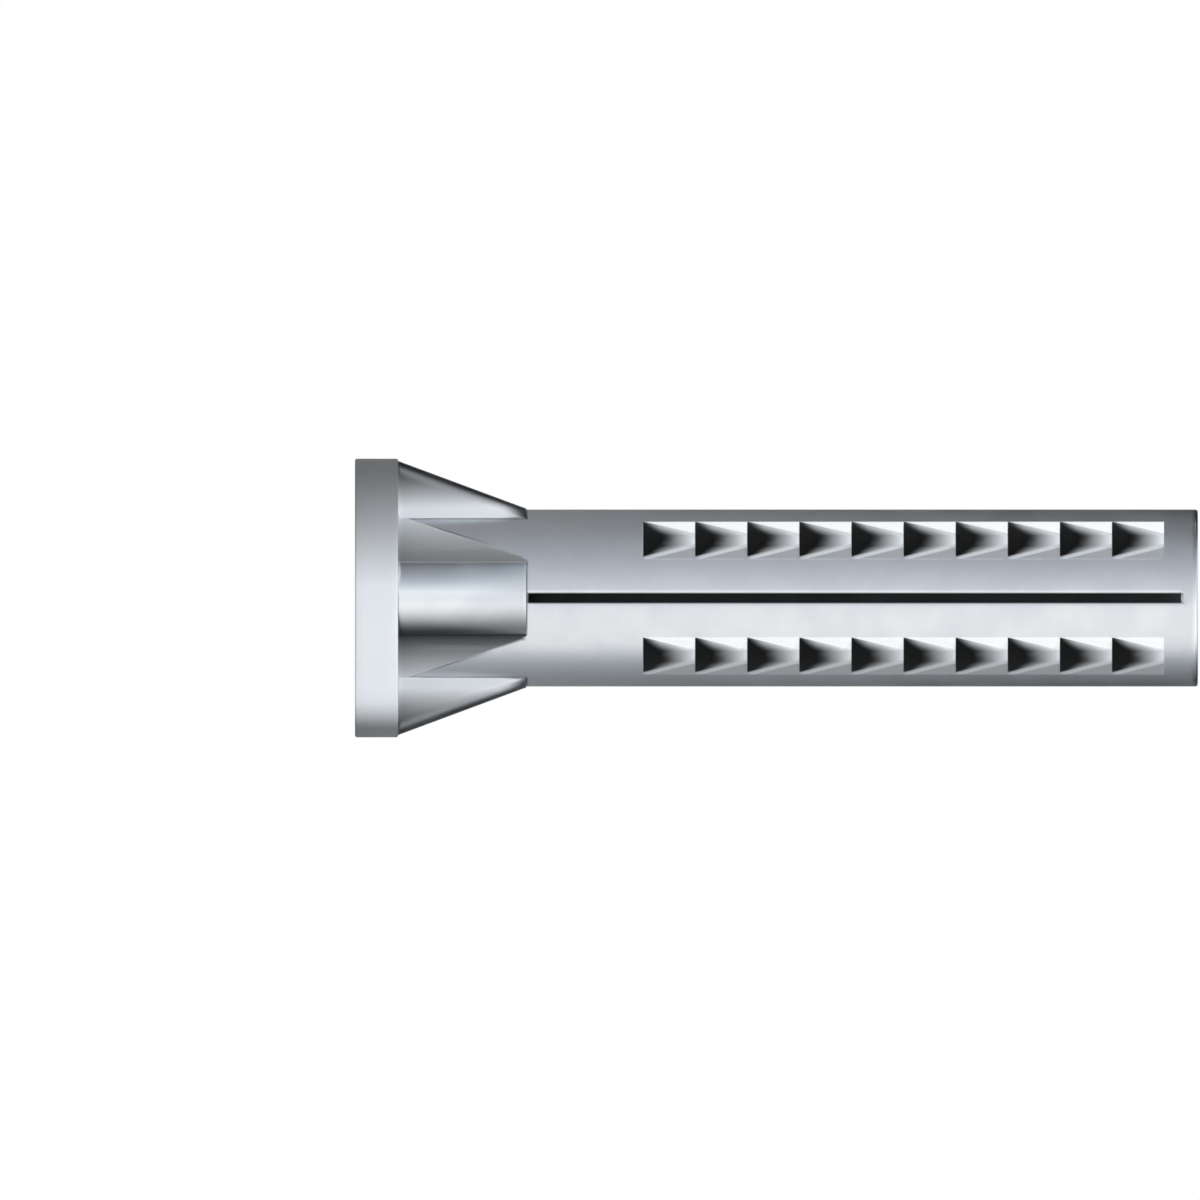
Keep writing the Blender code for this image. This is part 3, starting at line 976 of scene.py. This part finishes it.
# Chalk hides this share of the metal and is rougher than it by this much, and a barb's black fades
# into chalk this many times as fast as it clears
CHALK_COVER = 0.90
CHALK_ROUGHER = 0.25
BLACK_FADES = 4.0

# Roughness of dull lead, and how much smoother its clean patches are
LEAD_ROUGHNESS = 0.38
CLEAN_SMOOTHER = 0.06


def cast_lead_material():
    """Satin cast lead: pale blue-grey metal, dull in patches and bare on its edges.

    A chalky finish with painted light and shade lies on the rim and the gussets' flanks. On the
    barbs a chalky facet is painted as lit, the leaning face carries a painted shadow that clears
    to a lit ramp, and a painted highlight line runs along the plough with painted shade under it.
    Painted shade also lies in creases, in the bore and on the +X side of the front and back crests,
    and a painted highlight on their other side.
    """
    material = bpy.data.materials.new("cast_lead")
    material.use_nodes = True
    tree = material.node_tree
    shader = tree.nodes["Principled BSDF"]
    place = tree.nodes.new("ShaderNodeTexCoord").outputs["Object"]

    grain = tree.nodes.new("ShaderNodeGroup")
    grain.node_tree = casting_grain()
    grain.inputs["Scale"].default_value = GRAIN_SCALE
    tree.links.new(place, grain.inputs["Vector"])
    patches = ease(tree, grain.outputs["Patches"], 0.30, 0.70)

    barb = tree.nodes.new("ShaderNodeGroup")
    barb.node_tree = barb_painted_light()
    tree.links.new(attribute(tree, "barb_along"), barb.inputs["Along"])
    tree.links.new(attribute(tree, "barb_across"), barb.inputs["Across"])

    colour = mix_colour(tree, patches, DULL_LEAD, CLEAN_LEAD)
    edge = math_node(tree, "MULTIPLY", attribute(tree, "edge"), EDGE_SHARE)
    colour = mix_colour(tree, edge, colour, BARE_EDGE)
    # Painted shade in creases: darker where the surface bends inwards
    crease_shade = math_node(tree, "MULTIPLY", attribute(tree, "crease_shade"), CREASE_SHADE_SHARE)
    colour = mix_colour(tree, crease_shade, colour, PAINTED_SHADE)

    # Painted shade on the +X side of the front and back crests, and a painted highlight on their -X
    # side
    crest = math_node(tree, "MULTIPLY", attribute(tree, "crest_painted_shade"), CREST_SHADE_SHARE)
    colour = mix_colour(tree, crest, colour, CREST_PAINTED_SHADE)
    highlight_mix = math_node(tree, "MULTIPLY", attribute(tree, "crest_painted_highlight"), CREST_HIGHLIGHT_SHARE)
    colour = mix_colour(tree, highlight_mix, colour, CREST_PAINTED_HIGHLIGHT)
    # Chalky finish on the rim and the gussets' flanks, its tone painted light and shade
    chalk_and_shading = attribute(tree, "chalk_and_shading")
    shading_colour = mix_colour(tree, attribute(tree, "shading_tone"), grey(0.0), grey(1.0))
    colour = mix_colour(tree, chalk_and_shading, colour, shading_colour)

    # Painted light on the barbs: a lit chalky facet, shade under the plough, a shadow on the leaning
    # face clearing to a lit ramp, and a highlight line
    colour = mix_colour(tree, barb.outputs["Facet"], colour, PAINTED_LIT_FACET)
    shaded = math_node(tree, "MULTIPLY", barb.outputs["Shade"], SHADE_SHARE)
    colour = mix_colour(tree, shaded, colour, PLOUGH_PAINTED_SHADE)
    funnel_colour = mix_colour(tree, barb.outputs["Clearing"], PAINTED_SHADOW_FACE, PAINTED_LIT_RAMP)
    colour = mix_colour(tree, barb.outputs["Funnel"], colour, funnel_colour)
    line = math_node(tree, "MULTIPLY", barb.outputs["Line"], LINE_SHARE)
    colour = mix_colour(tree, line, colour, PAINTED_HIGHLIGHT_LINE)
    # Painted shade deep in the bore
    bore = attribute(tree, "bore_shade")
    colour = mix_colour(tree, bore, colour, PAINTED_SHADE)

    dull = math_node(tree, "MAXIMUM", barb.outputs["Facet"], barb.outputs["Funnel"])
    dull = math_node(tree, "MAXIMUM", dull, line)
    dull = math_node(tree, "MAXIMUM", dull, shaded)
    dull = math_node(tree, "MAXIMUM", dull, chalk_and_shading)
    cleared = math_node(tree, "MULTIPLY", barb.outputs["Clearing"], BLACK_FADES)
    black = math_node(tree, "SUBTRACT", barb.outputs["Funnel"], cleared, clamp=True)
    black = math_node(tree, "SUBTRACT", black, barb.outputs["Line"], clamp=True)
    black = math_node(tree, "MAXIMUM", black, bore)
    chalk = math_node(tree, "SUBTRACT", dull, black, clamp=True)
    metal = math_node(tree, "MULTIPLY_ADD", chalk, -CHALK_COVER, 1.0)
    rough = math_node(tree, "MULTIPLY_ADD", patches, -CLEAN_SMOOTHER, LEAD_ROUGHNESS)
    rough = math_node(tree, "MULTIPLY_ADD", dull, CHALK_ROUGHER, rough)

    bump = tree.nodes.new("ShaderNodeBump")
    bump.inputs["Strength"].default_value = GRAIN_STRENGTH
    bump.inputs["Distance"].default_value = GRAIN_DEPTH
    tree.links.new(grain.outputs["Height"], bump.inputs["Height"])

    tree.links.new(colour, shader.inputs["Base Color"])
    tree.links.new(rough, shader.inputs["Roughness"])
    tree.links.new(metal, shader.inputs["Metallic"])
    tree.links.new(bump.outputs["Normal"], shader.inputs["Normal"])
    return material


FLOOR_HALF = 1.0
FLOOR_COLOUR = (0.72, 0.72, 0.72, 1.0)
FLOOR_ROUGHNESS = 0.9


def make_floor():
    """Plain pale floor under the flange."""
    signs = ((-1, -1), (1, -1), (1, 1), (-1, 1))
    corners = [(FLOOR_HALF * x, FLOOR_HALF * y, 0.0) for x, y in signs]
    mesh = bpy.data.meshes.new("floor")
    mesh.from_pydata(corners, [], [(0, 1, 2, 3)])
    material = bpy.data.materials.new("pale_floor")
    material.use_nodes = True
    shader = material.node_tree.nodes["Principled BSDF"]
    shader.inputs["Base Color"].default_value = FLOOR_COLOUR
    shader.inputs["Roughness"].default_value = FLOOR_ROUGHNESS
    mesh.materials.append(material)
    floor = bpy.data.objects.new("floor", mesh)
    bpy.context.scene.collection.objects.link(floor)


WHITE = (1.0, 1.0, 1.0, 1.0)
AMBIENT_STRENGTH = 0.75


def white_world():
    """White surroundings for the camera and for what metal mirrors, and dimmer light from them."""
    world = bpy.data.worlds.new("studio")
    bpy.context.scene.world = world
    world.use_nodes = True
    tree = world.node_tree
    tree.nodes.clear()
    seen = tree.nodes.new("ShaderNodeLightPath")
    white = tree.nodes.new("ShaderNodeBackground")
    white.inputs["Color"].default_value = WHITE
    white.inputs["Strength"].default_value = 1.0
    dim = tree.nodes.new("ShaderNodeBackground")
    dim.inputs["Color"].default_value = WHITE
    dim.inputs["Strength"].default_value = AMBIENT_STRENGTH
    mixed = tree.nodes.new("ShaderNodeMixShader")
    output = tree.nodes.new("ShaderNodeOutputWorld")
    visible = math_node(tree, "MAXIMUM", seen.outputs["Is Camera Ray"], seen.outputs["Is Glossy Ray"])
    visible = math_node(tree, "MAXIMUM", visible, seen.outputs["Is Transmission Ray"])
    tree.links.new(visible, mixed.inputs["Fac"])
    tree.links.new(dim.outputs["Background"], mixed.inputs[1])
    tree.links.new(white.outputs["Background"], mixed.inputs[2])
    tree.links.new(mixed.outputs["Shader"], output.inputs["Surface"])


# Brightness of the wall that the metal mirrors, by angle from the front (-Y) towards +X
WALL_TONES = (
    (-180, 0.60), (-172, 0.40), (-162, 0.00), (-94, 0.00), (-66, 0.22), (-44, 0.44), (-18, 0.93),
    (0, 1.16), (10, 1.52), (66, 1.52), (82, 0.52), (92, 0.24), (104, 0.16), (120, 0.00),
    (162, 0.00), (172, 0.40), (180, 0.60),
)

# Its tint where it is brightest, and how far that shifts where it is dark
WALL_WARM = (1.0, 0.968, 0.925)
WALL_COOLS = (-0.16, 0.02, 0.25)

# Its strength, and its size in metres
WALL_STRENGTH = 1.07
WALL_RADIUS = 0.80
WALL_HEIGHT = 0.96
WALL_FOOT = 0.0005
WALL_FACES = 96


def make_mirrored_wall():
    """Round wall of soft light and shade about the anchor, which only the metal mirrors.

    It is a cylinder of one row of faces: each point is the radius times the sine and the negative
    cosine of its angle from the front. Its tones run with that angle, warm where they are
    bright and cool where they are dark.
    """
    around = np.tile(np.radians(np.linspace(-180.0, 180.0, WALL_FACES + 1)), 2)
    levels = np.repeat([WALL_FOOT, WALL_HEIGHT], WALL_FACES + 1)
    points = np.stack([WALL_RADIUS * np.sin(around), -WALL_RADIUS * np.cos(around), levels], axis=1)
    first = np.arange(WALL_FACES)
    above = first + WALL_FACES + 1
    faces = np.stack([first, first + 1, above + 1, above], axis=1)
    mesh = bpy.data.meshes.new("mirrored_wall")
    mesh.from_pydata(points, [], faces.tolist())

    material = bpy.data.materials.new("wall_light")
    material.use_nodes = True
    tree = material.node_tree
    tree.nodes.clear()
    place = tree.nodes.new("ShaderNodeTexCoord").outputs["Object"]
    parts = tree.nodes.new("ShaderNodeSeparateXYZ")
    tree.links.new(place, parts.inputs[0])
    back = math_node(tree, "MULTIPLY", parts.outputs["Y"], -1.0)
    turn = math_node(tree, "ARCTAN2", parts.outputs["X"], back)
    share = math_node(tree, "MULTIPLY_ADD", turn, 1 / (2 * math.pi), 0.5)
    ramp = tree.nodes.new("ShaderNodeValToRGB")
    tree.links.new(share, ramp.inputs["Fac"])
    brightest = max(tone for _, tone in WALL_TONES)
    stops = ramp.color_ramp.elements
    while len(stops) < len(WALL_TONES):
        stops.new(0.5)
    for stop, (degrees, tone) in zip(stops, WALL_TONES):
        stop.position = degrees / 360 + 0.5
        level = tone / brightest
        cool = 1 - level
        tint = [warm + shift * cool for warm, shift in zip(WALL_WARM, WALL_COOLS)]
        stop.color = (level * tint[0], level * tint[1], level * tint[2], 1.0)
    light = tree.nodes.new("ShaderNodeEmission")
    light.inputs["Strength"].default_value = brightest * WALL_STRENGTH
    output = tree.nodes.new("ShaderNodeOutputMaterial")
    tree.links.new(ramp.outputs["Color"], light.inputs["Color"])
    tree.links.new(light.outputs["Emission"], output.inputs["Surface"])
    mesh.materials.append(material)

    wall = bpy.data.objects.new("mirrored_wall", mesh)
    wall.visible_camera = False
    wall.visible_diffuse = False
    wall.visible_shadow = False
    wall.visible_transmission = False
    bpy.context.scene.collection.objects.link(wall)


LAMP_DISTANCE = 0.24
LAMP_WIDTH = 0.20
LAMP_HEIGHT = 0.25


def area_lamp(name, azimuth, height, power):
    """A soft upright lamp at an angle from the front (-Y) towards +X, facing the anchor."""
    data = bpy.data.lights.new(name, "AREA")
    data.shape = "RECTANGLE"
    data.size = LAMP_WIDTH
    data.size_y = LAMP_HEIGHT
    data.energy = power
    lamp = bpy.data.objects.new(name, data)
    turn = math.radians(azimuth)
    middle = Vector((0.0, 0.0, TIP_Z / 2))
    lamp.location = (LAMP_DISTANCE * math.sin(turn), -LAMP_DISTANCE * math.cos(turn), height)
    lamp.rotation_euler = (middle - lamp.location).to_track_quat("-Z", "Y").to_euler()
    lamp.visible_camera = False
    lamp.visible_glossy = False
    bpy.context.scene.collection.objects.link(lamp)


def make_lamps():
    """Soft lamps: a key on the +X side of the front, a side one towards -X, and one behind."""
    area_lamp("key", 30.0, 0.12, 0.14)
    area_lamp("fill", -66.0, 0.14, 0.30)
    area_lamp("back", 190.0, 0.16, 0.12)


CAMERA_DISTANCE = 0.30


def make_camera():
    """Flat side view, turned a quarter so that the anchor's tip points right as in the drawing."""
    data = bpy.data.cameras.new("camera")
    data.type = "ORTHO"
    data.ortho_scale = PHOTO_SIZE * METRES_PER_PIXEL
    camera = bpy.data.objects.new("camera", data)
    centre = PHOTO_SIZE / 2
    along = (centre - PHOTO_FLANGE_X) * METRES_PER_PIXEL
    across = (centre - PHOTO_AXIS_Y) * METRES_PER_PIXEL
    camera.matrix_world = Matrix(
        (
            (0.0, -1.0, 0.0, across),
            (0.0, 0.0, -1.0, -CAMERA_DISTANCE),
            (1.0, 0.0, 0.0, along),
            (0.0, 0.0, 0.0, 1.0),
        )
    )
    bpy.context.scene.collection.objects.link(camera)
    bpy.context.scene.camera = camera


def dress():
    """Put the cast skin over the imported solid."""
    sleeve = anchor_skin()
    sleeve.data.materials.append(cast_lead_material())
    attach(sleeve, "root")
    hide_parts(NODE)


make_camera()
dress()
make_floor()
white_world()
make_mirrored_wall()
make_lamps()
bpy.context.scene.view_settings.view_transform = "Standard"
